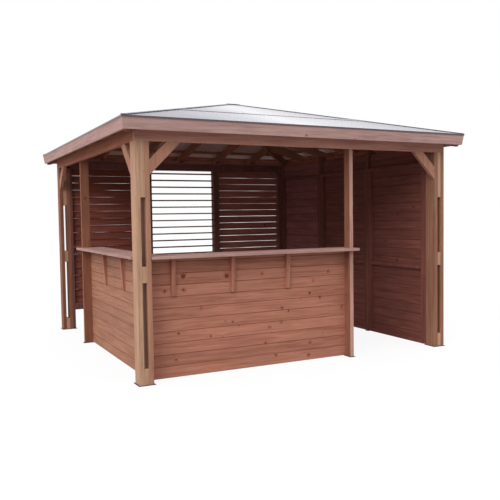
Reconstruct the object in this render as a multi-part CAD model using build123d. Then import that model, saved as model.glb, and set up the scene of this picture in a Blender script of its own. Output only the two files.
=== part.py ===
from build123d import *
from math import cos, radians, sqrt, tan
import os

# Open timber pool house with a corner bar and a low four-sided roof.
# Millimetres. +X runs along the front from left to right, +Y to the back, +Z up.
# The origin is the centre of the plan, on the ground.

# Plan and roof
POST_SPAN = 3680.0            # outer face to outer face of the corner posts, both ways
OVERHANG = 160.0              # roof edge beyond the outer faces of the posts
ROOF_PITCH = 14.7             # degrees
JOINT = 0.4                   # open joint between pieces that only butt

# Corner posts: two planks with blocks between them
PLANK_THICK = 46.0
PLANK_WIDTH = 145.0
SLOT = 46.0                   # gap between the two planks
TOP_BLOCK = 515.0
MIDDLE_BLOCK = 150.0
MIDDLE_BLOCK_HEIGHT = 950.0   # underside of the middle block
BOTTOM_BLOCK = 150.0
BLOCK_SHY = 3.0               # blocks sit back from the edges of the planks
PLATE_THICK = 3.0
PLATE_LIP = 14.0              # foot plate beyond the post

# Posts between the corners
MID_POST_THICK = 45.0
MID_POST_DEPTH = 100.0

# Top beams and braces
BEAM_THICK = 45.0
BEAM_DEPTH = 145.0
BEAM_UNDERSIDE = 2250.0
BRACE_THICK = 42.0
BRACE_HOLE = 170.0            # leg of the small open triangle behind a brace
BRACE_REACH = 310.0           # from the corner to the far edge of a brace

# Roof framing and covering
RAFTER_SEAT = 28.0            # notch of a rafter over the outer edge of a beam
RAFTER_THICK = 45.0
RAFTER_DEPTH = 95.0
RAFTER_SPACING = 600.0
RAFTERS_EACH_WAY = 2          # on either side of the middle one
HIP_DEPTH = 120.0
KING_BLOCK = 160.0
KING_BLOCK_DROP = 60.0        # below the undersides of the hips
BATTEN_THICK = 22.0
BATTEN_WIDTH = 60.0
BATTEN_PLACES = (70.0, 340.0, 850.0, 1270.0, 1700.0)   # in from the roof edge, in plan
SHEET_THICK = 4.0
SHEET_LAP = 90.0
SHEET_STEP = 12.0             # where the upper sheet steps up over the lower one
SHEET_SEAM = 870.0            # upper edge of the lower sheet, from the roof edge in plan
DRIP_DROP = 16.0
DRIP_THICK = 2.5
HIP_CAP_WIDTH = 70.0
HIP_CAP_THICK = 3.0
APEX_CAP = 170.0
APEX_CAP_THICK = 5.0
FASCIA_THICK = 27.0
FASCIA_DEPTH = 115.0
FASCIA_LEAN = 8.0             # degrees, lower edge inwards

# Wall panels: boards on a frame
PANEL_FOOT = 4.0
BOARD_THICK = 20.0
FRAME_THICK = 45.0

# Bar
COUNTER_TOP = 1190.0
COUNTER_THICK = 28.0
COUNTER_PAST_POST = 20.0      # front edge beyond the posts
COUNTER_WIDTH = 320.0
COUNTER_PAST_MID_POST = 40.0
COUNTER_CUT_CLEARANCE = 1.0
BRACKET_THICK = 42.0
BRACKET_HEIGHT = 367.0
BRACKET_TOP_DEPTH = 45.0
BRACKET_FOOT_DEPTH = 20.0
BRACKET_SQUARE = 25.0         # upright part of its front edge
FRONT_BRACKETS = 3
LEFT_BRACKETS = 2
FRONT_BRACKET_MARGINS = (253.0, 775.0)   # from the corner of the bar, and from its end
LEFT_BRACKET_MARGINS = (764.0, 791.0)

# Right wall
WALL_HEADER = 100.0           # from the top rail to the underside of the beam
WALL_MIDDLE_RAIL = 915.0      # middle of the rail
WALL_END_STUD = 90.0

# Louvre wall at the back
LOUVRE_LEFT_PANEL = 1149.0
LOUVRE_RIGHT_PANEL = 1168.0
LOUVRE_FOOT = 268.0           # underside of the bottom rails
LOUVRE_STILE = 45.0           # where two panels meet
LOUVRE_LEFT_STILE = 34.0      # beside the corner posts
LOUVRE_RIGHT_STILE = 66.0
LOUVRE_BOTTOM_RAIL = 78.0
BELOW_HIPS = 10.0             # clear space between a panel and the hips
SLAT_WIDTH = 95.0
SLAT_THICK = 18.0
SLAT_PITCH = 100.0
SLAT_MARGIN = 6.5             # between the bottom rail and an upright slat
SLAT_END_CLEARANCE = 0.4
SLAT_TILTS = (78.0, 0.0, 74.0)   # degrees, outer edge down; left, middle and right panel

HALF = POST_SPAN / 2
EDGE = HALF + OVERHANG
SLOPE = tan(radians(ROOF_PITCH))
UPRIGHT = 1 / cos(radians(ROOF_PITCH))     # upright depth of a layer over its thickness

# Upright drop from the top of the covering to each layer of the roof
BATTEN_TOP = SHEET_THICK * UPRIGHT
RAFTER_TOP = BATTEN_TOP + BATTEN_THICK * UPRIGHT
RAFTER_UNDERSIDE = RAFTER_TOP + RAFTER_DEPTH * UPRIGHT
HIP_UNDERSIDE = RAFTER_TOP + HIP_DEPTH * UPRIGHT
CAP_RAISE = SHEET_THICK * UPRIGHT + 2 * JOINT

# Heights that follow from the beams
BEAM_TOP = BEAM_UNDERSIDE + BEAM_DEPTH
EAVE_HEIGHT = BEAM_TOP - RAFTER_SEAT + RAFTER_UNDERSIDE - OVERHANG * SLOPE
SKY = 2 * EAVE_HEIGHT                      # above the whole roof
WALL_FRAME_TOP = BEAM_UNDERSIDE - WALL_HEADER

# Faces of the posts and panels, from the middle of the plan
POST_SIDE = HALF - 2 * PLANK_THICK - SLOT  # inner face of a corner post, across the front
POST_BACK = HALF - PLANK_WIDTH             # inner edge of its planks, front to back
BEAM_INNER = HALF - BEAM_THICK
BEAM_MIDDLE = HALF - BEAM_THICK / 2
PANEL_FACE = BEAM_INNER - MID_POST_DEPTH   # outer face of the front bar, inner face of the louvres
LEFT_FACE = POST_SIDE                      # outer face of the left bar
PANEL_THICK = BOARD_THICK + FRAME_THICK
MID_POST_PLACE = POST_SIDE / 3             # posts stand at the thirds of each side
PANEL_TOP = EAVE_HEIGHT + (EDGE - BEAM_INNER) * SLOPE - HIP_UNDERSIDE - BELOW_HIPS
COUNTER_UNDERSIDE = COUNTER_TOP - COUNTER_THICK
COUNTER_EDGE = HALF + COUNTER_PAST_POST

# Louvres
LOUVRE_MIDDLE = (PANEL_FACE + BEAM_INNER) / 2
SLAT_FIRST = LOUVRE_FOOT + LOUVRE_BOTTOM_RAIL + SLAT_MARGIN + SLAT_WIDTH / 2
SLAT_COUNT = 1 + int((BEAM_UNDERSIDE - SLAT_WIDTH / 2 - SLAT_FIRST) / SLAT_PITCH)

TURN = {"front": 0, "right": 90, "back": 180, "left": -90}


def block(x0, x1, y0, y1, z0, z1):
    """A squared piece between two opposite corners, given in any order."""
    size = Box(abs(x1 - x0), abs(y1 - y0), abs(z1 - z0))
    return Pos((x0 + x1) / 2, (y0 + y1) / 2, (z0 + z1) / 2) * size


def on_side(shape, side):
    """Turn a shape that was made for the front to another side."""
    return Rot(0, 0, TURN[side]) * shape


def wall_piece(along0, along1, out0, out1, z0, z1):
    """A squared piece of the front wall: along it, outwards from the middle, and up."""
    return block(along0, along1, -out0, -out1, z0, z1)


def roof_height(out, drop=0.0):
    """Height of a roof layer at a distance from the middle."""
    return EAVE_HEIGHT + (EDGE - out) * SLOPE - drop


def prism(points, along0, along1):
    """Extrude an outline given as (outwards, up) along the front wall."""
    outline = [(-out, up) for out, up in points]
    face = make_face(Plane.YZ.offset(along0) * Polyline(*outline, close=True))
    return extrude(face, amount=along1 - along0, dir=(1, 0, 0))


def quarter(inset=0.0, reach=EDGE):
    """The front quarter of the plan, between the two hips, as a tall prism."""
    far = reach + OVERHANG
    wide = far - inset
    face = make_face(Polyline((0, -inset), (wide, -far), (-wide, -far), close=True))
    return extrude(face, amount=SKY)


def roof_strip(out0, out1, top, bottom, inset=0.0):
    """A strip of a roof layer on the front slope, cut by the hips."""
    outline = [
        (out0, roof_height(out0, top)),
        (out1, roof_height(out1, top)),
        (out1, roof_height(out1, bottom)),
        (out0, roof_height(out0, bottom)),
    ]
    return prism(outline, -EDGE, EDGE) & quarter(inset)


def fascia_plane(up, back=0.0):
    """Distance from the middle to the leaning outer face of a fascia, or to a plane behind it."""
    lean = tan(radians(FASCIA_LEAN))
    top = roof_height(EDGE, BATTEN_TOP)
    return EDGE - DRIP_THICK - back - (top - up) * lean


def solids(*shapes):
    """One compound of every solid in the shapes."""
    found = []
    for shape in shapes:
        found.extend(shape.solids())
    return Compound(children=found)


def corner_planks(sx, sy):
    """The two planks of a corner post, up to the beams."""
    pieces = []
    for outer in (HALF, HALF - PLANK_THICK - SLOT):
        inner = outer - PLANK_THICK
        pieces.append(block(sx * inner, sx * outer, sy * POST_BACK, sy * HALF, PLATE_THICK, BEAM_UNDERSIDE))
    return pieces


def corner_blocks(sx, sy):
    """The three blocks between the planks of a corner post."""
    inner = HALF - PLANK_THICK - SLOT
    outer = HALF - PLANK_THICK
    near = POST_BACK + BLOCK_SHY
    far = HALF - BLOCK_SHY
    spans = (
        (PLATE_THICK, PLATE_THICK + BOTTOM_BLOCK),
        (MIDDLE_BLOCK_HEIGHT, MIDDLE_BLOCK_HEIGHT + MIDDLE_BLOCK),
        (BEAM_UNDERSIDE - TOP_BLOCK, BEAM_UNDERSIDE),
    )
    return [block(sx * inner, sx * outer, sy * near, sy * far, low, top) for low, top in spans]


def foot_plate(x0, x1, y0, y1):
    lip = PLATE_LIP
    return block(min(x0, x1) - lip, max(x0, x1) + lip, min(y0, y1) - lip, max(y0, y1) + lip, 0, PLATE_THICK)


def below_rafters(out_clearance=JOINT):
    """Everything on the front side that lies under the rafters."""
    outline = [
        (0, roof_height(0, RAFTER_UNDERSIDE + out_clearance)),
        (HALF, roof_height(HALF, RAFTER_UNDERSIDE + out_clearance)),
        (HALF, 0),
        (0, 0),
    ]
    return prism(outline, -HALF, HALF)


def beam_post(along):
    """A post between the corners, behind the front beam."""
    post = wall_piece(
        along - MID_POST_THICK / 2, along + MID_POST_THICK / 2,
        BEAM_INNER - MID_POST_DEPTH, BEAM_INNER, PLATE_THICK, BEAM_TOP,
    )
    return post & below_rafters()


def bar_end_post(along):
    """The post at the end of the left bar, housed a little under the beam."""
    along0 = along - MID_POST_THICK / 2
    along1 = along + MID_POST_THICK / 2
    outer = LEFT_FACE + MID_POST_DEPTH
    shaft = wall_piece(along0, along1, LEFT_FACE, outer, PLATE_THICK, BEAM_UNDERSIDE)
    tongue = wall_piece(along0, along1, LEFT_FACE, BEAM_INNER, PLATE_THICK, BEAM_TOP)
    return (shaft + tongue) & below_rafters()


def brace(start, sign):
    """A brace from a post to the beam over it, in the outline (along, up)."""
    corner = (start, BEAM_UNDERSIDE)
    outline = [
        (start, corner[1] - BRACE_HOLE),
        (start, corner[1] - BRACE_REACH),
        (start + sign * BRACE_REACH, corner[1]),
        (start + sign * BRACE_HOLE, corner[1]),
    ]
    return make_face(Plane.XZ * Polyline(*outline, close=True))


def front_brace(start, sign, out):
    """A brace centred at a distance from the middle of the plan."""
    return Pos(0, -out + BRACE_THICK / 2, 0) * extrude(brace(start, sign), amount=BRACE_THICK, dir=(0, -1, 0))


def panel_frame(studs, back, z0, z1, rails):
    """Studs given as (start, end) along the front, and the rails between each two."""
    face = back + FRAME_THICK
    pieces = [wall_piece(start, end, back, face, z0, z1) for start, end in studs]
    for (_, left), (right, _) in zip(studs[:-1], studs[1:]):
        for low, top in rails:
            pieces.append(wall_piece(left + JOINT, right - JOINT, back, face, low, top))
    return pieces


def stud_row(along0, along1, places, end_width=FRAME_THICK):
    """The start and end of a stud at each end of a panel and at each place between."""
    middle = [(place - FRAME_THICK / 2, place + FRAME_THICK / 2) for place in sorted(places)]
    return [(along0, along0 + end_width)] + middle + [(along1 - FRAME_THICK, along1)]


def bracket_places(corner, end, margins, count):
    """Evenly spaced places between a bar's corner and its end."""
    first = corner + margins[0]
    step = (end - margins[1] - first) / (count - 1)
    return [first + i * step for i in range(count)]


def bracket(along, outer, top):
    """A tapered bracket on the face of a bar."""
    outline = [
        (outer, top),
        (outer + BRACKET_TOP_DEPTH, top),
        (outer + BRACKET_TOP_DEPTH, top - BRACKET_SQUARE),
        (outer + BRACKET_FOOT_DEPTH, top - BRACKET_HEIGHT),
        (outer, top - BRACKET_HEIGHT),
    ]
    return prism(outline, along - BRACKET_THICK / 2, along + BRACKET_THICK / 2)


def louvre_frame(along0, along1, stile0, stile1):
    """The two stiles of a louvre panel, which stand on the ground, and its rails."""
    rail0 = along0 + stile0 + JOINT
    rail1 = along1 - stile1 - JOINT
    return [
        wall_piece(along0, along0 + stile0, PANEL_FACE, BEAM_INNER, PLATE_THICK, PANEL_TOP),
        wall_piece(along1 - stile1, along1, PANEL_FACE, BEAM_INNER, PLATE_THICK, PANEL_TOP),
        wall_piece(rail0, rail1, PANEL_FACE, BEAM_INNER, LOUVRE_FOOT, LOUVRE_FOOT + LOUVRE_BOTTOM_RAIL),
        wall_piece(rail0, rail1, PANEL_FACE, BEAM_INNER, BEAM_UNDERSIDE, PANEL_TOP),
    ]


def louvre_slats(along0, along1, tilt):
    """The slats between two stiles, their outer edges lowered by the tilt."""
    length = along1 - along0 - 2 * SLAT_END_CLEARANCE
    outline = SlotOverall(SLAT_WIDTH, SLAT_THICK)
    slat = extrude(Plane.YZ * outline, amount=length / 2, both=True)
    slat = Rot(tilt, 0, 0) * slat
    place = (along0 + along1) / 2
    return [Pos(place, -LOUVRE_MIDDLE, SLAT_FIRST + i * SLAT_PITCH) * slat for i in range(SLAT_COUNT)]


def hip_rafter():
    """The hip over the front right corner, backed to both slopes."""
    reach = EDGE * sqrt(2)
    plate = Rot(0, 0, -45) * block(0, reach, -RAFTER_THICK / 2, RAFTER_THICK / 2, 0, SKY)
    top = roof_solid(RAFTER_TOP)
    under = roof_solid(HIP_UNDERSIDE)
    king = block(-KING_BLOCK / 2, KING_BLOCK / 2, -KING_BLOCK / 2, KING_BLOCK / 2, 0, SKY)
    hip = (plate & top) - under - king
    return hip & inside_fascias()


def roof_solid(drop):
    """Everything under a roof layer, as a solid down to the ground."""
    quarters = [on_side(prism([
        (0, roof_height(0, drop)),
        (EDGE, roof_height(EDGE, drop)),
        (EDGE, 0),
        (0, 0),
    ], -EDGE, EDGE) & quarter(), side) for side in TURN]
    whole = quarters[0]
    for piece in quarters[1:]:
        whole = whole + piece
    return whole


def inside_fascias():
    """Everything inside the inner faces of the four fascias."""
    low = 0.0
    high = SKY
    behind = FASCIA_THICK + JOINT
    base = 2 * fascia_plane(low, behind)
    top = 2 * fascia_plane(high, behind)
    return loft([Plane.XY.offset(low) * Rectangle(base, base), Plane.XY.offset(high) * Rectangle(top, top)])


def top_beams():
    """Front and back beams run through, and the side beams fit between them."""
    low = BEAM_UNDERSIDE
    long_beam = wall_piece(-HALF, HALF, BEAM_INNER, HALF, low, BEAM_TOP)
    side_beam = wall_piece(-BEAM_INNER, BEAM_INNER, BEAM_INNER, HALF, low, BEAM_TOP)
    return {
        "front": long_beam,
        "back": on_side(long_beam, "back"),
        "left": on_side(side_beam, "left"),
        "right": on_side(side_beam, "right"),
    }


def front_rafters():
    """The common and jack rafters of the front slope."""
    clear = RAFTER_THICK / sqrt(2) + JOINT
    layer = roof_strip(0, EDGE, RAFTER_TOP, RAFTER_UNDERSIDE, clear)
    pieces = []
    for i in range(-RAFTERS_EACH_WAY, RAFTERS_EACH_WAY + 1):
        along = i * RAFTER_SPACING
        start = KING_BLOCK / 2 + JOINT if i == 0 else 0
        cut = wall_piece(along - RAFTER_THICK / 2, along + RAFTER_THICK / 2, start, EDGE, 0, SKY)
        pieces.append((layer & cut) & inside_fascias())
    return pieces


def front_battens():
    clear = JOINT / 2
    half = BATTEN_WIDTH / 2
    strips = []
    for place in BATTEN_PLACES:
        out = EDGE - place
        strips.append(roof_strip(out - half, out + half, BATTEN_TOP, RAFTER_TOP, clear))
    return [strip & inside_fascias() for strip in strips]


def front_sheets():
    """Lower sheet with its drip, and the upper sheet that steps over it."""
    seam = EDGE - SHEET_SEAM
    depth = SHEET_THICK * UPRIGHT
    lower = roof_strip(seam, EDGE, 0, depth)
    drip = [
        (EDGE - DRIP_THICK, roof_height(EDGE, -depth)),
        (EDGE, roof_height(EDGE, 0)),
        (EDGE, roof_height(EDGE, DRIP_DROP)),
        (EDGE - DRIP_THICK, roof_height(EDGE, DRIP_DROP)),
    ]
    skirt = prism(drip, -EDGE, EDGE) & quarter() & roof_solid(0)
    lower = lower + skirt
    upper = roof_strip(0, seam - JOINT, 0, depth)
    upper = upper + roof_strip(seam - SHEET_STEP, seam - JOINT, -depth - JOINT, depth)
    upper = upper + roof_strip(seam - SHEET_STEP, seam + SHEET_LAP, -depth - JOINT, -JOINT)
    return lower, upper & block(-EDGE, EDGE, -EDGE, EDGE, 0, apex_cap_height())


def fascia():
    """The fascia of the front edge, leaning in at its foot and mitred."""
    top = roof_height(EDGE, BATTEN_TOP)
    low = top - FASCIA_DEPTH
    high = top + FASCIA_THICK
    outline = [
        (fascia_plane(top), top),
        (fascia_plane(low), low),
        (fascia_plane(low, FASCIA_THICK), low),
        (fascia_plane(high, FASCIA_THICK), high),
        (fascia_plane(top), high),
    ]
    board = prism(outline, -EDGE, EDGE) & quarter()
    return board & roof_solid(BATTEN_TOP)


def hip_cap():
    """The cap over the front right hip, folded over both slopes."""
    reach = EDGE * sqrt(2)
    half = HIP_CAP_WIDTH / 2
    strip = Rot(0, 0, -45) * block(0, reach, -half, half, 0, SKY)
    low = -CAP_RAISE
    top = low - HIP_CAP_THICK * UPRIGHT
    edge = block(-EDGE, EDGE, -EDGE, EDGE, 0, apex_cap_height())
    return ((strip & roof_solid(top)) - roof_solid(low)) & edge


def apex_cap_height():
    """Underside of the flat cap at the apex."""
    return roof_height(APEX_CAP / 2, -CAP_RAISE - HIP_CAP_THICK * UPRIGHT)


def build():
    nodes = {}
    corners = {"front_left": (-1, -1), "front_right": (1, -1), "back_left": (-1, 1), "back_right": (1, 1)}

    # Corner posts and their blocks
    blocks = []
    plates = []
    for name, (sx, sy) in corners.items():
        nodes["post_" + name] = solids(*corner_planks(sx, sy))
        blocks += corner_blocks(sx, sy)
        beside = LOUVRE_LEFT_STILE if sx < 0 else LOUVRE_RIGHT_STILE
        inner = POST_SIDE - beside if sy > 0 else POST_SIDE
        plates.append(foot_plate(sx * inner, sx * HALF, sy * POST_BACK, sy * HALF))
    nodes["post_spacer_blocks"] = solids(*blocks)

    # Posts between the corners
    front_post = beam_post(MID_POST_PLACE)
    left_post = on_side(bar_end_post(-MID_POST_PLACE), "left")
    right_posts = [on_side(beam_post(side * MID_POST_PLACE), "right") for side in (-1, 1)]
    nodes["front_mid_post"] = solids(front_post)
    nodes["left_mid_post"] = solids(left_post)
    nodes["right_mid_posts"] = solids(*right_posts)
    for post in (front_post, left_post, *right_posts):
        box = post.bounding_box()
        plates.append(foot_plate(box.min.X, box.max.X, box.min.Y, box.max.Y))
    louvre_joints = (-POST_SIDE + LOUVRE_LEFT_PANEL, POST_SIDE - LOUVRE_RIGHT_PANEL)
    for place in louvre_joints:
        plates.append(foot_plate(place - LOUVRE_STILE, place + LOUVRE_STILE, PANEL_FACE, BEAM_INNER))
    nodes["foot_plates"] = solids(*plates)

    # Top beams and the braces at the open corners
    beams = top_beams()
    for side, beam in beams.items():
        nodes["beam_" + side] = solids(beam)
    braces = [
        front_brace(-POST_SIDE, 1, BEAM_MIDDLE),
        front_brace(POST_SIDE, -1, BEAM_MIDDLE),
        on_side(front_brace(POST_BACK, -1, BEAM_MIDDLE), "left"),
        on_side(front_brace(-POST_BACK, 1, BEAM_MIDDLE), "left"),
    ]
    nodes["knee_braces"] = solids(*braces)

    # Bar: boards and frames, the front boards held behind the inner plank of the corner post
    bar_top = COUNTER_UNDERSIDE
    rails = ((PANEL_FOOT, PANEL_FOOT + FRAME_THICK), (bar_top - FRAME_THICK, bar_top))
    bar_end = MID_POST_PLACE + MID_POST_THICK / 2
    front_back = PANEL_FACE - PANEL_THICK
    left_back = LEFT_FACE - PANEL_THICK
    near = PANEL_FACE - BOARD_THICK
    boards = wall_piece(-LEFT_FACE - PLANK_THICK, bar_end, near, PANEL_FACE, PANEL_FOOT, bar_top)
    nodes["front_bar_boards"] = solids(boards)
    front_places = bracket_places(-LEFT_FACE, bar_end, FRONT_BRACKET_MARGINS, FRONT_BRACKETS)
    studs = stud_row(-left_back + JOINT, bar_end, front_places[1:])
    frames = panel_frame(studs, front_back, PANEL_FOOT, bar_top, rails)
    boards = wall_piece(-bar_end, near - JOINT, LEFT_FACE - BOARD_THICK, LEFT_FACE, PANEL_FOOT, bar_top)
    left_places = bracket_places(-PANEL_FACE, bar_end, LEFT_BRACKET_MARGINS, LEFT_BRACKETS)
    left_places = [-place for place in left_places]
    studs = stud_row(-bar_end, near - JOINT, left_places)
    frames += [on_side(piece, "left") for piece in panel_frame(studs, left_back, PANEL_FOOT, bar_top, rails)]
    nodes["left_bar_boards"] = solids(on_side(boards, "left"))
    nodes["bar_frames"] = solids(*frames)
    brackets = [bracket(place, PANEL_FACE, bar_top) for place in front_places]
    brackets += [on_side(bracket(place, LEFT_FACE, bar_top), "left") for place in left_places]
    nodes["counter_brackets"] = solids(*brackets)

    # Counters, cut out round the posts
    tip = bar_end + COUNTER_PAST_MID_POST
    inner = COUNTER_EDGE - COUNTER_WIDTH
    gap = COUNTER_CUT_CLEARANCE
    front_top = block(-POST_SIDE + gap, tip, -COUNTER_EDGE, -inner, bar_top, COUNTER_TOP)
    left_top = block(-COUNTER_EDGE, -inner, -POST_BACK + gap, tip, bar_top, COUNTER_TOP)
    left_top = left_top - block(-POST_SIDE, tip, -COUNTER_EDGE, -inner + JOINT, 0, 2 * COUNTER_TOP)
    for post in (front_post, left_post):
        box = post.bounding_box()
        cut = block(box.min.X - gap, box.max.X + gap, box.min.Y - gap, box.max.Y + gap, 0, 2 * COUNTER_TOP)
        front_top = front_top - cut
        left_top = left_top - cut
    nodes["front_counter"] = solids(front_top)
    nodes["left_counter"] = solids(left_top)

    # Right wall in three bays between its posts, frame on the inside
    wall_rails = (
        (PANEL_FOOT, PANEL_FOOT + FRAME_THICK),
        (WALL_MIDDLE_RAIL - FRAME_THICK / 2, WALL_MIDDLE_RAIL + FRAME_THICK / 2),
        (WALL_FRAME_TOP - FRAME_THICK, WALL_FRAME_TOP),
    )
    half_post = MID_POST_THICK / 2
    bays = (
        (-POST_BACK, -MID_POST_PLACE - half_post, WALL_END_STUD),
        (-MID_POST_PLACE + half_post, MID_POST_PLACE - half_post, FRAME_THICK),
        (MID_POST_PLACE + half_post, POST_BACK, FRAME_THICK),
    )
    wall_boards = []
    wall_frames = []
    boards_in = POST_SIDE + FRAME_THICK
    for start, end, end_stud in bays:
        boards = wall_piece(start, end, boards_in, boards_in + BOARD_THICK, PANEL_FOOT, PANEL_TOP)
        wall_boards.append(on_side(boards, "right"))
        studs = stud_row(start, end, (), end_stud)
        frame = panel_frame(studs, POST_SIDE, PANEL_FOOT, WALL_FRAME_TOP, wall_rails)
        wall_frames += [on_side(piece, "right") for piece in frame]
    nodes["right_wall_boards"] = solids(*wall_boards)
    nodes["right_wall_frames"] = solids(*wall_frames)

    # Louvre wall in three panels
    edges = (POST_SIDE, -louvre_joints[0], -louvre_joints[1], -POST_SIDE)
    stiles = (LOUVRE_LEFT_STILE, LOUVRE_STILE, LOUVRE_STILE, LOUVRE_RIGHT_STILE)
    for i, name in enumerate(("left", "middle", "right")):
        along1 = edges[i]
        along0 = edges[i + 1] + JOINT
        stile1 = stiles[i]
        stile0 = stiles[i + 1]
        frame = louvre_frame(along0, along1, stile0, stile1)
        slats = louvre_slats(along0 + stile0, along1 - stile1, SLAT_TILTS[i])
        nodes["louvre_frame_" + name] = solids(*[on_side(piece, "back") for piece in frame])
        nodes["louvre_slats_" + name] = solids(*[on_side(piece, "back") for piece in slats])

    # Roof framing
    hips = []
    for turn in TURN.values():
        hip = Rot(0, 0, turn) * hip_rafter()
        for beam in beams.values():
            hip = hip - beam
        hips.append(hip)
    nodes["hip_rafters"] = solids(*hips)
    rafters = []
    for side in TURN:
        for piece in front_rafters():
            rafters.append(on_side(piece, side) - beams[side])
    nodes["jack_rafters"] = solids(*rafters)
    half_king = KING_BLOCK / 2 - JOINT
    king_low = roof_height(0, HIP_UNDERSIDE) - KING_BLOCK_DROP
    king = block(-half_king, half_king, -half_king, half_king, king_low, SKY)
    nodes["king_block"] = solids(king & roof_solid(RAFTER_TOP))
    battens = front_battens()
    nodes["roof_battens"] = solids(*[on_side(piece, side) for side in TURN for piece in battens])

    # Covering and edges
    lower, upper = front_sheets()
    edge = fascia()
    for side in TURN:
        nodes["roof_" + side] = solids(on_side(lower, side), on_side(upper, side))
        nodes["fascia_" + side] = solids(on_side(edge, side))
    half_cap = APEX_CAP / 2
    low = apex_cap_height() + JOINT
    caps = [block(-half_cap, half_cap, -half_cap, half_cap, low, low + APEX_CAP_THICK)]
    caps += [Rot(0, 0, turn) * hip_cap() for turn in TURN.values()]
    nodes["roof_caps"] = solids(*caps)
    return nodes


os.makedirs("parts", exist_ok=True)
for node, shape in build().items():
    export_step(shape, "parts/" + node + ".step")
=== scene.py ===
import bpy
import bmesh
import math
import random
from mathutils import Matrix, Vector


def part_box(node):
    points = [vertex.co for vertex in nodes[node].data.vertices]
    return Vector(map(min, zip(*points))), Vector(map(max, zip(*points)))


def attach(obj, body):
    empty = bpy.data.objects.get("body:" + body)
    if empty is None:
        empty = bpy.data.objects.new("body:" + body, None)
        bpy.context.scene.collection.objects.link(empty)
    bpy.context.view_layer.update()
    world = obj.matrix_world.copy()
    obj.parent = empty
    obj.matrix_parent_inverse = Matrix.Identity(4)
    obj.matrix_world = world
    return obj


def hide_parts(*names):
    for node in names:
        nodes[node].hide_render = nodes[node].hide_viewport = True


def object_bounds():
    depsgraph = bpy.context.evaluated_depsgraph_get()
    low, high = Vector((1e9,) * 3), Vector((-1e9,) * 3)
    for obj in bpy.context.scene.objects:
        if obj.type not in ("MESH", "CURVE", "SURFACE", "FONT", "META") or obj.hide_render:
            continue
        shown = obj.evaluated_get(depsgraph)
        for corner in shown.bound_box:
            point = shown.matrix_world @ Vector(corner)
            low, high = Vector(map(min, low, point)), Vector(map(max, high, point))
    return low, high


# Dressing of the timber pool house. Metres, in the frame of the part:
# +X along the front, +Y to the back, +Z up, origin in the middle on the ground.

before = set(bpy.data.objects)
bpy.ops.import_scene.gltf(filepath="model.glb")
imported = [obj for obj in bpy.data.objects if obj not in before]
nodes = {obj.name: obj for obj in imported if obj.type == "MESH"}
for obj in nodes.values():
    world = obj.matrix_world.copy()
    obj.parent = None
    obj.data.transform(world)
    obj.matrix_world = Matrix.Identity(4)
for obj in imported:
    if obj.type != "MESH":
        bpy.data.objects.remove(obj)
cad_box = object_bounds()
random.seed(11)

# Boards of the bar and the right wall
BOARD_PITCH = 0.112
BOARD_START = 0.005         # height at which the rows start
BOARD_THICK = 0.020
BOARD_LEAST = 0.012         # a lower strip isn't made
GROOVED_LEAST = 0.08        # lowest board that can have a false joint
JOINT = 0.0006              # gap between two boards
V_LEG = 0.004               # V at a board's shown edges
GROOVE = 0.0025             # depth and half width of a false joint
TONGUE_NEAR, TONGUE_FAR = 0.0085, 0.0125    # from the shown face
TONGUE_REACH = 0.006
TONGUE_TAPER = 0.0005
TONGUE_PLAY = 0.001         # free depth behind a tongue

# Where the boards are: faces from the middle of the plan, runs along each side
FRONT_FACE = 1.695
LEFT_FACE = 1.702
WALL_IN = 1.747
PANEL_FOOT = 0.004
BAR_TOP = 1.162
WALL_TOP = 2.3429
POST_NEAR, POST_FAR = 0.5448, 0.5898        # sides of a post between the corners
CORNER_POST = 1.695
FRONT_BAR_RUNS = [(-1.748, POST_FAR)]
LEFT_BAR_RUNS = [(-1.6746, POST_FAR)]
RIGHT_WALL_RUNS = [(-CORNER_POST, -POST_FAR), (-POST_NEAR, POST_NEAR), (POST_FAR, CORNER_POST)]

# Louvres
SLAT_FIRST, SLAT_PITCH, SLAT_COUNT = 0.400, 0.100, 19
SLAT_WIDTH, SLAT_THICK, SLAT_ARRIS = 0.095, 0.018, 0.002
LOUVRE_MIDDLE = 1.745
LEFT_TILT, RIGHT_TILT = math.radians(78), math.radians(74)
LOOSE_SLATS = 13            # slats of the right louvre, from its foot, that close less tightly
LEFT_GAINS = [0.0019] * SLAT_COUNT          # what each edge gains over the plain slat
RIGHT_GAINS = [0.0003] * LOOSE_SLATS + [0.0023] * (SLAT_COUNT - LOOSE_SLATS)
SLAT_STEPS = 28
EDGE_WAVES = 4
WAVE_SPANS = ((2.0, 16.0), (0.0, 6.3), (0.0001, 0.0005))    # rate, phase and size of a wave

# Edges of the plain timbers
WELD_GAP = 0.00005
ARRIS = 0.0025
ARRIS_STEPS = 2
ARRIS_ANGLE = math.radians(40)

# Knots: the eye and the halo darken between two depths inside the knot's edge
KNOT_CELL = 0.30            # each square of this side has at most one random knot
KNOT_RADIUS = 0.034
KNOT_NOISE, KNOT_RAGGED = 55.0, 0.030
KNOT_EYE, EYE_STRENGTH = (-0.002, 0.006), 0.85
KNOT_HALO, HALO_STRENGTH = (-0.022, 0.0), 0.45

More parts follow.
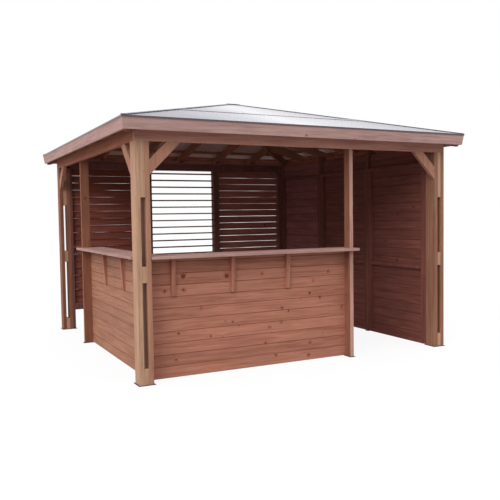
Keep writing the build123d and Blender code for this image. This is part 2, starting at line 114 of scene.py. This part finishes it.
# Grain: how much each noise is stretched along, across and through the timber
BENDS = (1.4, 3.5, 3.5)
RINGS = (1.3, 42.0, 42.0)
FIBRES = (7.0, 240.0, 240.0)
BLOTCHES = (2.2, 6.0, 6.0)
RING_BEND, KNOT_BEND = 3.0, 1.6
RING_STOPS = (0.32, 0.50, 0.70)             # dark, middle and light tone in the rings' noise
MID_SHARE = 0.4                             # middle tone mixed over the rings
FIBRE_TONES, FIBRE_STRENGTH = [(0.35, 0.88), (0.65, 1.06)], 0.8
BLOTCH_TONES, BLOTCH_STRENGTH = [(0.3, 0.87), (0.7, 1.10)], 0.9
RELIEF_STRENGTH, RELIEF_DEPTH = 0.25, 0.002
RING_RELIEF, FIBRE_RELIEF = 0.6, 0.4
ROUGH_LOW, ROUGH_SPAN = -0.08, 0.16         # fibres' roughness about the mean
BOARD_VARY = 0.07           # lightest and darkest board from the mean
BOARD_SHIFT = 7.3           # grain of a board from that of the next
ROW_SHIFT = 0.37
JOINT_STAIN_AND_SHADE = (0.006, 0.002)                # from a joint, start and end of the darkening
WOOD_SPECULAR = 0.12
FACING = (0.5, 0.8)                         # cosines between which a face counts as facing a direction

# Sheet
SHEET_CLOUD, ROOF_CLOUD, SHEET_FINE = 1.6, 1.3, 60.0
CLOUD_TONES = [(0.3, 0.92), (0.7, 1.05)]
SHEET_ROUGH_SPAN = 0.12
SHEET_RELIEF, SHEET_DEPTH = 0.15, 0.01
SHEEN_WANDER = 0.7
DRIP_FACING = (0.3, 0.6)                    # upward part of the normal, from drip edge to slope

# Light
FLOOR_SIZE = 40.0
FLOOR_DROP = 0.0005
FLOOR_BOUNCE = 0.30
FLOOR_PALE = 0.97
FLOOR_SHADOW = 0.10
SKY_LOW, SKY_HIGH = 0.35, 1.6
SKY_COLOUR = (0.95, 0.97, 1.0, 1.0)
SUN_FROM = Vector((-8.0, -4.5, 6.0))
SUN_STRENGTH = 1.4
SUN_COLOUR = (1.0, 0.98, 0.95)
SUN_ANGLE = math.radians(40)

# Camera, as solved from the photograph
PHOTO_PX = 500.0
FOCAL_PX = 654.764
SENSOR_MM = 36.0
PITCH, ROLL, YAW = 0.0523159, -0.0146716, 0.4681974
EYE = Vector((-3.6134, -7.6285, 1.5576)) * 0.998


class Tree:
    """Small helper that adds and links shader nodes."""

    def __init__(self, tree):
        self.tree = tree
        tree.nodes.clear()

    def put(self, socket, value):
        if isinstance(value, bpy.types.NodeSocket):
            self.tree.links.new(value, socket)
        else:
            socket.default_value = value

    def add(self, kind, **values):
        """A node; in_NAME or in_NUMBER is an input, and the rest are its settings."""
        node = self.tree.nodes.new(kind)
        for key, value in values.items():
            if key.startswith("in_"):
                key = key[3:]
                self.put(node.inputs[int(key) if key.isdigit() else key.replace("_", " ")], value)
            else:
                setattr(node, key, value)
        return node

    def math(self, operation, a, b=0.0):
        node = self.add("ShaderNodeMath", operation=operation)
        self.put(node.inputs[0], a)
        self.put(node.inputs[1], b)
        return node.outputs[0]

    def scaled(self, value, factor):
        return self.math("MULTIPLY", value, factor)

    def mix(self, fac, a, b, blend="MIX"):
        return self.add("ShaderNodeMix", data_type="RGBA", blend_type=blend, in_0=fac, in_6=a, in_7=b).outputs[2]

    def tinted(self, colour, tint, fac=1.0):
        return self.mix(fac, colour, tint, "MULTIPLY")

    def ramp(self, fac, stops):
        node = self.add("ShaderNodeValToRGB", in_0=fac)
        elements = node.color_ramp.elements
        while len(elements) < len(stops):
            elements.new(0.5)
        for element, (place, colour) in zip(elements, stops):
            element.position = place
            element.color = colour
        return node.outputs["Color"]

    def soft_step(self, value, low, high):
        """0 below low, 1 above high and a straight slope between."""
        return self.add("ShaderNodeMapRange", in_Value=value, in_From_Min=low, in_From_Max=high, clamp=True).outputs[0]

    def moved(self, vector, by):
        return self.add("ShaderNodeVectorMath", operation="ADD", in_0=vector, in_1=by).outputs[0]

    def split(self, vector):
        return self.add("ShaderNodeSeparateXYZ", in_0=vector).outputs

    def joined(self, x, y, z):
        return self.add("ShaderNodeCombineXYZ", in_0=x, in_1=y, in_2=z).outputs[0]

    def stretched(self, vector, scale, shift=(0.0, 0.0, 0.0)):
        return self.add("ShaderNodeMapping", in_Vector=vector, in_Scale=scale, in_Location=shift).outputs[0]

    def noise(self, vector, scale, detail, rough=0.5):
        return self.add("ShaderNodeTexNoise", in_Vector=vector, in_Scale=scale, in_Detail=detail,
                        in_Roughness=rough).outputs[0]

    def object_place(self):
        return self.add("ShaderNodeTexCoord").outputs["Object"]

    def normal(self):
        return self.add("ShaderNodeNewGeometry").outputs["Normal"]

    def seen_rays(self):
        """1 for rays that show the background itself, 0 for those that carry its light."""
        path = self.add("ShaderNodeLightPath").outputs
        bent = self.math("MAXIMUM", path["Is Glossy Ray"], path["Is Transmission Ray"])
        return self.math("MAXIMUM", path["Is Camera Ray"], bent)

    def surface(self, base, rough, relief, strength, depth, specular=0.5):
        bump = self.add("ShaderNodeBump", in_Height=relief, in_Strength=strength, in_Distance=depth)
        shader = self.add("ShaderNodeBsdfPrincipled", in_Base_Color=base, in_Roughness=rough,
                          in_Normal=bump.outputs[0], in_Specular_IOR_Level=specular)
        self.add("ShaderNodeOutputMaterial", in_0=shader.outputs[0])


def material(name):
    mat = bpy.data.materials.new(name)
    mat.use_nodes = True
    return mat, Tree(mat.node_tree)


def grey(v):
    return (v, v, v, 1.0)


def srgb(code):
    """Linear colour from a hex code."""
    out = []
    for i in (0, 2, 4):
        v = int(code[i:i + 2], 16) / 255
        out.append(v / 12.92 if v <= 0.04045 else ((v + 0.055) / 1.055) ** 2.4)
    return (*out, 1.0)


def greys(tones):
    return [(at, grey(v)) for at, v in tones]


def colours(tones):
    return [(at, srgb(code)) for at, code in tones]


def palette(light, mid, dark, knot):
    return srgb(light), srgb(mid), srgb(dark), srgb(knot)


def folded(t, position, how):
    """Position with the grain turned to X: along one axis, or folded about the diagonals."""
    x, y, z = t.split(position)
    if how == "X":
        return position
    if how == "Y":
        return t.joined(y, x, z)
    if how == "Z":
        return t.joined(z, x, y)
    ax = t.math("ABSOLUTE", x)
    ay = t.math("ABSOLUTE", y)
    if how == "hip":
        return t.joined(t.math("ADD", ax, ay), t.math("SUBTRACT", ax, ay), z)
    # on the front and back slopes the eaves run along X, on the sides along Y
    side = t.math("GREATER_THAN", ax, ay)
    front = t.math("SUBTRACT", 1.0, side)
    eave = t.math("ADD", t.scaled(x, front), t.scaled(y, side))
    fall = t.math("ADD", t.scaled(y, front), t.scaled(x, side))
    return t.joined(eave, fall, z) if how == "eave" else t.joined(fall, eave, z)


def knot_field(t, along, height, knots, seed, placed):
    """How far inside the nearest knot a point lies, in metres, negative outside."""
    flat = t.joined(t.math("ADD", along, seed), t.math("ADD", height, seed * ROW_SHIFT), 0.0)
    cells = t.add("ShaderNodeTexVoronoi", feature="F1", voronoi_dimensions="2D",
                  in_Vector=flat, in_Scale=1.0 / KNOT_CELL)
    size = t.add("ShaderNodeSeparateColor", in_0=cells.outputs["Color"]).outputs[0]
    radius = t.scaled(t.math("SUBTRACT", size, 1.0 - knots), KNOT_RADIUS)
    inside = t.math("SUBTRACT", radius, t.scaled(cells.outputs["Distance"], KNOT_CELL))
    point = t.joined(along, height, 0.0)
    for x, z, r in placed:
        gap = t.add("ShaderNodeVectorMath", operation="DISTANCE", in_0=point, in_1=(x, z, 0.0))
        inside = t.math("MAXIMUM", inside, t.math("SUBTRACT", r, gap.outputs["Value"]))
    return inside


def wood(name, tones, how, seed, knots=0.3, band=None, placed=(), joints=0.4, rough=0.66, split=None, painted_lit_faces=None):
    """Stained softwood with its grain along one direction.

    knots = share of the squares of KNOT_CELL that have a knot; joints = how dark a joint is, up to 1.
    band = (pitch, start) of the boards' heights gives each its own tone, grain and dark joints.
    placed = (along, height, radius) of knots that have a place of their own.
    split = (axis, place, tint): the timber beyond that place has another tint.
    The last argument, (direction, tint), is painted light: the faces that look that way get the tint.
    """
    light, mid, dark, knot = tones
    mat, t = material(name)
    place = t.object_place()
    pos = folded(t, place, how)
    along, across, height = t.split(pos)
    inside = knot_field(t, along, height if band else t.math("ADD", across, height), knots, seed, placed)
    ragged = t.math("SUBTRACT", t.noise(place, KNOT_NOISE, 3.0), 0.5)
    inside = t.math("ADD", inside, t.scaled(ragged, KNOT_RAGGED))
    eye = t.soft_step(inside, *KNOT_EYE)
    halo = t.soft_step(inside, *KNOT_HALO)
    if band:
        pitch, start = band
        row = t.math("DIVIDE", t.math("SUBTRACT", height, start), pitch)
        index = t.math("FLOOR", row)
        own = t.add("ShaderNodeTexWhiteNoise", noise_dimensions="1D", in_W=t.math("ADD", index, seed)).outputs["Value"]
        pos = t.moved(pos, t.joined(t.scaled(own, BOARD_SHIFT), 0.0, t.scaled(index, ROW_SHIFT)))

    # growth rings, bent round the knots, with fibres and blotches over them
    bend = t.noise(t.stretched(pos, BENDS, (0.0, seed, 0.0)), 1.0, 2.0)
    push = t.math("ADD", t.scaled(bend, RING_BEND), t.scaled(halo, KNOT_BEND))
    lines = t.stretched(pos, RINGS, (seed, 0.0, 0.0))
    rings = t.noise(t.moved(lines, t.joined(0.0, push, push)), 1.0, 3.0, 0.6)
    fibre = t.noise(t.stretched(pos, FIBRES), 1.0, 2.0)
    broad = t.noise(t.stretched(pos, BLOTCHES, (2.0, seed, 5.0)), 1.0, 4.0)
    base = t.mix(MID_SHARE, t.ramp(rings, list(zip(RING_STOPS, (dark, mid, light)))), mid)
    base = t.tinted(base, t.ramp(fibre, greys(FIBRE_TONES)), FIBRE_STRENGTH)
    base = t.tinted(base, t.ramp(broad, greys(BLOTCH_TONES)), BLOTCH_STRENGTH)
    if band:
        base = t.tinted(base, t.ramp(own, greys([(0.0, 1.0 - BOARD_VARY), (1.0, 1.0 + BOARD_VARY)])))
        # stain and painted shade darken the boards near the joints
        middle = t.math("ABSOLUTE", t.math("SUBTRACT", t.math("SUBTRACT", row, index), 0.5))
        joint = t.soft_step(t.scaled(middle, pitch), pitch / 2 - JOINT_STAIN_AND_SHADE[0], pitch / 2 - JOINT_STAIN_AND_SHADE[1])
        base = t.mix(t.scaled(joint, joints), base, knot)

    plain = base
    if split:
        axis, limit, tint = split
        base = t.mix(t.math("GREATER_THAN", t.split(place)[axis], limit), base, t.tinted(base, tint))
    # painted light: faces turned the given way get a lighter tint than the rest
    if painted_lit_faces:
        direction, tint = painted_lit_faces
        facing = t.add("ShaderNodeVectorMath", operation="DOT_PRODUCT", in_0=t.normal(), in_1=direction)
        base = t.mix(t.soft_step(facing.outputs["Value"], *FACING), base, t.tinted(plain, tint))
    base = t.mix(t.scaled(halo, HALO_STRENGTH), base, dark)
    base = t.mix(t.scaled(eye, EYE_STRENGTH), base, knot)
    relief = t.math("ADD", t.scaled(rings, RING_RELIEF), t.scaled(fibre, FIBRE_RELIEF))
    roughness = t.math("ADD", rough + ROUGH_LOW, t.scaled(fibre, ROUGH_SPAN))
    t.surface(base, roughness, relief, RELIEF_STRENGTH, RELIEF_DEPTH, WOOD_SPECULAR)
    return mat


def finish_sheet(t, place, base, rough, cloud):
    roughness = t.math("ADD", rough, t.scaled(t.noise(place, SHEET_FINE, 2.0), SHEET_ROUGH_SPAN))
    t.surface(base, roughness, cloud, SHEET_RELIEF, SHEET_DEPTH)


def sheet_metal(name, colour, rough):
    mat, t = material(name)
    place = t.object_place()
    cloud = t.noise(place, SHEET_CLOUD, 4.0)
    base = t.tinted(colour, t.ramp(cloud, greys(CLOUD_TONES)))
    finish_sheet(t, place, base, rough, cloud)
    return mat


def roof_sheet(name, rough):
    """Coated sheet: a painted highlight along each slope, palest in its middle, painted shade on the folded drip,
    brownish underside.
    """
    mat, t = material(name)
    place = t.object_place()
    cloud = t.noise(place, ROOF_CLOUD, 4.0)
    wander = t.scaled(t.math("SUBTRACT", cloud, 0.5), SHEEN_WANDER)
    along = t.math("ADD", t.split(folded(t, place, "eave"))[0], wander)
    painted_sheen = t.ramp(t.soft_step(along, cad_box[0][0], cad_box[1][0]), colours(ROOF_SHEEN_PAINTED))
    under = t.ramp(cloud, colours(ROOF_UNDERSIDE))
    up = t.split(t.normal())[2]
    # painted shade: the drip's upright faces get a dark colour
    base = t.mix(t.soft_step(up, *DRIP_FACING), srgb(ROOF_DRIP_SHADE), painted_sheen)
    base = t.mix(t.soft_step(up, *(-limit for limit in DRIP_FACING)), base, under)
    finish_sheet(t, place, base, rough, cloud)
    return mat


# Light, middle, dark and knot tones of the timbers
RED = palette("cb8d76", "bb7d67", "9f5d49", "6f3626")
SIDE = palette("c08d74", "ae7a62", "915c48", "562a20")
POST = palette("d6ad90", "c69b7f", "a87a60", "6b3c2d")
# the front right post's tones, darkened with painted shade
POST_SHADED = palette("ac7f68", "9d6f59", "835442", "52291e")
BRACE = palette("c6937b", "b6826b", "986450", "5f3326")
# darker tones with painted shade, for the far posts, the mid posts and the roof timbers under the roof
SHADED_TIMBER = palette("a9725b", "98644e", "7c4c3a", "4a271d")
BEAM = palette("dda290", "ce917f", "ac7362", "6a3a2e")
BEAM_SIDE = palette("c27d62", "b26e53", "94563f", "5a2e20")
EDGE = palette("cfaba3", "c29b93", "a57a71", "6e463c")
# right wall tones, darkened with painted shade for the inside under the roof
WALL_SHADE = palette("935c51", "834e45", "693d35", "3f221c")
TOP = palette("c6a29a", "b9928a", "9c7269", "6e463c")
# right mid posts' tones, darkened with painted shade for the inside
INNER_SHADED = palette("8d5f51", "7f5144", "683e34", "422219")
# tones of the left and middle louvre slats, darkened with painted shade
LOUVRE_SHADED = palette("9a5a4a", "8a4d40", "6c392e", "3a1a14")
LOUVRE_RIGHT = palette("bd7f72", "ae7266", "8e5850", "4a241e")
# tones of the louvre frames, darkened with painted shade
LOUVRE_FRAME_SHADED = palette("8c5b54", "7a4e48", "603b36", "34201b")

# Tone of the roof along the eaves, from the left end: the sheet's grey with a painted highlight that is palest in the
# middle
ROOF_SHEEN_PAINTED = [
    (0.06, "7d7c85"), (0.20, "87858f"), (0.32, "afadb6"), (0.46, "d6d5d8"),
    (0.63, "b2b1b8"), (0.80, "a09ea6"), (0.95, "97959d"),
]
ROOF_UNDERSIDE = [(0.35, "caa094"), (0.65, "e6c8be")]
# painted shade of the folded drip edge
ROOF_DRIP_SHADE = "5d4b50"

# Knots that show on the front of the bar: place along it, height, radius
BAR_KNOTS = [
    (-1.16, 0.66, 0.013), (-1.06, 0.37, 0.010), (-0.82, 0.49, 0.010), (-1.40, 0.43, 0.011),
    (-0.75, 0.45, 0.009), (-0.25, 0.59, 0.014), (-0.17, 0.55, 0.011), (0.09, 0.72, 0.015),
    (0.22, 0.67, 0.014), (0.50, 0.55, 0.010), (-0.48, 0.96, 0.009), (-1.34, 0.98, 0.024),
    (-0.88, 0.96, 0.026), (-1.53, 0.85, 0.015), (-1.34, 0.85, 0.015), (-0.45, 0.24, 0.011),
    (0.09, 0.19, 0.012), (-0.40, 0.40, 0.009), (-0.26, 0.44, 0.009), (-1.43, 0.18, 0.010),
    (-0.33, 0.10, 0.012), (0.07, 0.06, 0.012), (0.33, 0.94, 0.013), (0.14, 0.85, 0.009),
]
BOARDS = (BOARD_PITCH, BOARD_START)
SLATS = (SLAT_PITCH, SLAT_PITCH / 2)
FRONT, BACK, RIGHT = (0.0, -1.0, 0.0), (0.0, 1.0, 0.0), (1.0, 0.0, 0.0)
FAR_BAY = (1, 0.56, (1.5, 1.7, 2.0, 1.0))               # catches more of the light under the roof
POST_INNER_PLANK = (0, -1.771, (0.80, 0.69, 0.69, 1.0))

# The tints given for faces turned one way are painted light; the darker palettes hold painted shade.
boards_x = wood("red_boards_x", RED, "X", 3.0, 0.12, BOARDS, placed=BAR_KNOTS)
boards_y = wood("red_boards_y", SIDE, "Y", 8.0, 0.50, BOARDS)
wall_y = wood("wall_boards_y", WALL_SHADE, "Y", 5.0, 0.40, BOARDS, joints=0.3, rough=0.8, split=FAR_BAY,
              painted_lit_faces=(RIGHT, (2.0, 2.4, 2.1, 1.0)))
wall_z = wood("wall_frame_wood", WALL_SHADE, "Z", 22.0, 0.2, rough=0.8)
inner_post_z = wood("inner_post_wood", INNER_SHADED, "Z", 26.0, 0.2, rough=0.8, painted_lit_faces=(RIGHT, (2.0, 2.2, 2.0, 1.0)))
post_z = wood("post_wood", POST, "Z", 1.0, split=POST_INNER_PLANK)
shaded_red_post_z = wood("red_post_wood_shaded", POST_SHADED, "Z", 23.0)
brace_z = wood("brace_wood", BRACE, "Z", 27.0)
block_z = wood("block_wood", POST, "Z", 24.0, 0.2)
shaded_post_z = wood("far_post_wood_shaded", SHADED_TIMBER, "Z", 21.0)
mid_z = wood("mid_post_wood", SHADED_TIMBER, "Z", 2.0, painted_lit_faces=(FRONT, (1.75, 2.4, 3.2, 1.0)))
beam_x = wood("beam_wood_x", BEAM, "X", 4.0)
beam_y = wood("beam_wood_y", BEAM_SIDE, "Y", 6.0)
edge_x = wood("fascia_wood_x", EDGE, "X", 7.0)
edge_y = wood("fascia_wood_y", EDGE, "Y", 9.0)
top_x = wood("counter_wood_x", TOP, "X", 12.0, 0.2)
top_y = wood("counter_wood_y", TOP, "Y", 13.0, 0.2)
frame_z = wood("panel_frame_wood", RED, "Z", 16.0, 0.2)
louvre_x = wood("louvre_wood_x", LOUVRE_SHADED, "X", 14.0, 0.2, SLATS, joints=0.0, painted_lit_faces=(BACK, (1.75, 2.3, 2.3, 1.0)))
louvre_right_x = wood("right_louvre_wood_x", LOUVRE_RIGHT, "X", 25.0, 0.2, SLATS, joints=0.0,
                      painted_lit_faces=(BACK, (1.15, 1.2, 1.05, 1.0)))
louvre_z = wood("louvre_wood_z", LOUVRE_FRAME_SHADED, "Z", 15.0, 0.2, painted_lit_faces=(BACK, (2.1, 2.1, 1.8, 1.0)))
rafter_mat = wood("rafter_wood", SHADED_TIMBER, "fall", 17.0, 0.25)
batten_mat = wood("batten_wood", SHADED_TIMBER, "eave", 18.0, 0.2)
hip_mat = wood("hip_wood", SHADED_TIMBER, "hip", 19.0, 0.2)
roof_mat = roof_sheet("roof_sheet_grey", 0.22)
# the caps' own grey, darkened with painted shade
shaded_cap_mat = sheet_metal("roof_cap_shaded_grey", srgb("807e87"), 0.4)
plate_mat = sheet_metal("plate_dark", srgb("4a4443"), 0.5)

SURFACES = {
    "post_front_left": post_z, "post_front_right": shaded_red_post_z, "post_back_left": shaded_post_z, "post_back_right": shaded_post_z,
    "post_spacer_blocks": block_z, "front_mid_post": mid_z, "left_mid_post": shaded_post_z, "right_mid_posts": inner_post_z,
    "beam_front": beam_x, "beam_back": beam_x, "beam_left": beam_y, "beam_right": beam_y, "knee_braces": brace_z,
    "bar_frames": frame_z, "counter_brackets": frame_z, "front_counter": top_x, "left_counter": top_y,
    "right_wall_frames": wall_z, "louvre_slats_middle": louvre_x,
    "louvre_frame_left": louvre_z, "louvre_frame_middle": louvre_z, "louvre_frame_right": louvre_z,
    "hip_rafters": hip_mat, "king_block": hip_mat, "jack_rafters": rafter_mat, "roof_battens": batten_mat,
    "fascia_front": edge_x, "fascia_back": edge_x, "fascia_left": edge_y, "fascia_right": edge_y,
    "roof_front": roof_mat, "roof_back": roof_mat, "roof_left": roof_mat, "roof_right": roof_mat,
    "roof_caps": shaded_cap_mat, "foot_plates": plate_mat,
}
METAL = (roof_mat, shaded_cap_mat, plate_mat)

for node, mat in SURFACES.items():
    obj = nodes[node]
    obj.data.materials.clear()
    obj.data.materials.append(mat)
    if mat not in METAL:
        weld = obj.modifiers.new("weld", "WELD")
        weld.merge_threshold = WELD_GAP
        bevel = obj.modifiers.new("arris", "BEVEL")
        bevel.width = ARRIS
        bevel.segments = ARRIS_STEPS
        bevel.limit_method = "ANGLE"
        bevel.angle_limit = ARRIS_ANGLE


def mesh_object(name, bm, mat, node):
    """The finished piece, in place of a node of the part."""
    mesh = bpy.data.meshes.new(name)
    bmesh.ops.recalc_face_normals(bm, faces=bm.faces)
    bm.to_mesh(mesh)
    bm.free()
    obj = bpy.data.objects.new(name, mesh)
    bpy.context.scene.collection.objects.link(obj)
    mesh.materials.append(mat)
    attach(obj, "root")
    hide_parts(node)


def skin(bm, rings):
    """Closed faces over rings of vertices."""
    count = len(rings[0])
    for near, far in zip(rings, rings[1:]):
        for i in range(count):
            bm.faces.new((near[i], near[(i + 1) % count], far[(i + 1) % count], far[i]))
    bm.faces.new(rings[0][::-1])
    bm.faces.new(rings[-1])


def board_outline(low, high, groove, both, tongue):
    """Outline (depth, height) of one board: V edges, a false joint at the height groove, tongue and groove."""
    face = [(0.0, low + V_LEG)]
    if groove:
        face += [(0.0, groove - GROOVE), (GROOVE, groove), (0.0, groove + GROOVE)]
    top = [(0.0, high - V_LEG), (V_LEG, high)]
    if tongue:
        tip = high + TONGUE_REACH
        top += [(TONGUE_NEAR, high), (TONGUE_NEAR + TONGUE_TAPER, tip),
                (TONGUE_FAR - TONGUE_TAPER, tip), (TONGUE_FAR, high)]
    if both:
        back = [(BOARD_THICK - V_LEG, high), (BOARD_THICK, high - V_LEG),
                (BOARD_THICK, low + V_LEG), (BOARD_THICK - V_LEG, low)]
    else:
        back = [(BOARD_THICK, high), (BOARD_THICK, low)]
    bed = low + TONGUE_REACH + TONGUE_PLAY
    foot = [(TONGUE_FAR, low), (TONGUE_FAR, bed), (TONGUE_NEAR, bed), (TONGUE_NEAR, low), (V_LEG, low)]
    return face + top + back + foot


def board_rows(low, high):
    """Lower and upper edges of the boards between two heights."""
    rows = []
    k = math.floor((low - BOARD_START) / BOARD_PITCH)
    while BOARD_START + k * BOARD_PITCH < high - BOARD_LEAST:
        bottom = BOARD_START + k * BOARD_PITCH
        top = bottom + BOARD_PITCH
        if top > low + BOARD_LEAST:
            rows.append((max(bottom, low) + JOINT / 2, min(top, high) - JOINT / 2))
        k += 1
    return rows


def board_wall(name, mat, runs, high, place, both, groove_odds, node):
    """Rows of boards along runs; place(along, depth, height) gives each point."""
    bm = bmesh.new()
    rows = board_rows(PANEL_FOOT, high)
    for bottom, top in rows:
        for run in runs:
            grooved = top - bottom > GROOVED_LEAST and random.random() < groove_odds
            outline = board_outline(bottom, top, (bottom + top) / 2 if grooved else None, both, top < rows[-1][1])
            skin(bm, [[bm.verts.new(place(along, depth, height)) for depth, height in outline] for along in run])
    mesh_object(name, bm, mat, node)


board_wall("front_bar_cladding", boards_x, FRONT_BAR_RUNS, BAR_TOP,
           lambda a, d, h: (a, -FRONT_FACE + d, h), False, 0.4, "front_bar_boards")
board_wall("left_bar_cladding", boards_y, LEFT_BAR_RUNS, BAR_TOP,
           lambda a, d, h: (-LEFT_FACE + d, a, h), False, 0.4, "left_bar_boards")
board_wall("right_wall_cladding", wall_y, RIGHT_WALL_RUNS, WALL_TOP,
           lambda a, d, h: (WALL_IN + BOARD_THICK - d, a, h), True, 0.3, "right_wall_boards")


def slat_outline(top, foot):
    """Outline (across, through) of a slat with its arrises taken off."""
    side = SLAT_THICK / 2
    return [(top - SLAT_ARRIS, side), (top, side - SLAT_ARRIS), (top, SLAT_ARRIS - side), (top - SLAT_ARRIS, -side),
            (foot + SLAT_ARRIS, -side), (foot, SLAT_ARRIS - side), (foot, side - SLAT_ARRIS), (foot + SLAT_ARRIS, side)]


def sawn_slats(name, node, mat, tilt, gains):
    """Slats with the wandering edges of sawn timber."""
    low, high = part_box(node)
    bm = bmesh.new()
    across = Vector((0.0, math.cos(tilt), math.sin(tilt)))
    through = Vector((0.0, -math.sin(tilt), math.cos(tilt)))
    for k, gain in enumerate(gains):
        centre = Vector((0.0, LOUVRE_MIDDLE, SLAT_FIRST + k * SLAT_PITCH))
        waves = [[random.uniform(*span) for span in WAVE_SPANS] for _ in range(2 * EDGE_WAVES)]
        rings = []
        for step in range(SLAT_STEPS + 1):
            x = low[0] + (high[0] - low[0]) * step / SLAT_STEPS
            upper, lower = (gain + sum(size * math.sin(rate * x + phase) for rate, phase, size in half)
                            for half in (waves[:EDGE_WAVES], waves[EDGE_WAVES:]))
            outline = slat_outline(SLAT_WIDTH / 2 + upper, -SLAT_WIDTH / 2 - lower)
            rings.append([bm.verts.new(Vector((x, 0.0, 0.0)) + centre + across * u + through * v) for u, v in outline])
        skin(bm, rings)
    mesh_object(name, bm, mat, node)


sawn_slats("left_louvre_slats", "louvre_slats_left", louvre_x, LEFT_TILT, LEFT_GAINS)
sawn_slats("right_louvre_slats", "louvre_slats_right", louvre_right_x, RIGHT_TILT, RIGHT_GAINS)

# Floor: white where it is seen, with a faint shadow, and darker in the light that it sends back
scene = bpy.context.scene
bm = bmesh.new()
bmesh.ops.create_grid(bm, x_segments=1, y_segments=1, size=FLOOR_SIZE)
mesh = bpy.data.meshes.new("floor")
bm.to_mesh(mesh)
bm.free()
floor = bpy.data.objects.new("floor", mesh)
floor.location.z = -FLOOR_DROP
scene.collection.objects.link(floor)
mat, t = material("floor_pale")
bounce = t.add("ShaderNodeBsdfDiffuse", in_Color=grey(FLOOR_BOUNCE))
shadowed = t.add("ShaderNodeBsdfDiffuse", in_Color=grey(FLOOR_PALE))
white = t.add("ShaderNodeEmission", in_Color=grey(1.0), in_Strength=1.0)
seen = t.add("ShaderNodeMixShader", in_0=FLOOR_SHADOW, in_1=white.outputs[0], in_2=shadowed.outputs[0])
mixed = t.add("ShaderNodeMixShader", in_0=t.seen_rays(), in_1=bounce.outputs[0], in_2=seen.outputs[0])
t.add("ShaderNodeOutputMaterial", in_0=mixed.outputs[0])
mesh.materials.append(mat)

# World: white where it is seen, and a sky that grows brighter upward for the light
world = bpy.data.worlds.new("studio")
scene.world = world
world.use_nodes = True
t = Tree(world.node_tree)
upward = t.split(t.add("ShaderNodeTexCoord").outputs["Generated"])[2]
level = t.add("ShaderNodeMapRange", in_Value=upward, in_From_Min=0.0, in_From_Max=1.0,
              in_To_Min=SKY_LOW, in_To_Max=SKY_HIGH, clamp=True)
sky = t.add("ShaderNodeBackground", in_Color=SKY_COLOUR, in_Strength=level.outputs[0])
white = t.add("ShaderNodeBackground", in_Color=grey(1.0), in_Strength=1.0)
mixed = t.add("ShaderNodeMixShader", in_0=t.seen_rays(), in_1=sky.outputs[0], in_2=white.outputs[0])
t.add("ShaderNodeOutputWorld", in_0=mixed.outputs[0])

sun_data = bpy.data.lights.new("sun", "SUN")
sun_data.energy = SUN_STRENGTH
sun_data.angle = SUN_ANGLE
sun_data.color = SUN_COLOUR
sun = bpy.data.objects.new("sun", sun_data)
sun.location = SUN_FROM
sun.rotation_euler = (-SUN_FROM).to_track_quat("-Z", "Y").to_euler()
scene.collection.objects.link(sun)

forward = Vector((math.sin(YAW) * math.cos(PITCH), math.cos(YAW) * math.cos(PITCH), -math.sin(PITCH)))
right = Vector((math.cos(YAW), -math.sin(YAW), 0.0))
up = right.cross(forward)
right_rolled = math.cos(ROLL) * right + math.sin(ROLL) * up
up_rolled = -math.sin(ROLL) * right + math.cos(ROLL) * up
camera_data = bpy.data.cameras.new("camera")
camera_data.sensor_width = SENSOR_MM
camera_data.lens = FOCAL_PX * SENSOR_MM / PHOTO_PX
camera = bpy.data.objects.new("camera", camera_data)
turn = Matrix((right_rolled, up_rolled, -forward)).transposed()
camera.matrix_world = Matrix.Translation(EYE) @ turn.to_4x4()
scene.collection.objects.link(camera)
scene.camera = camera
scene.view_settings.view_transform = "Standard"
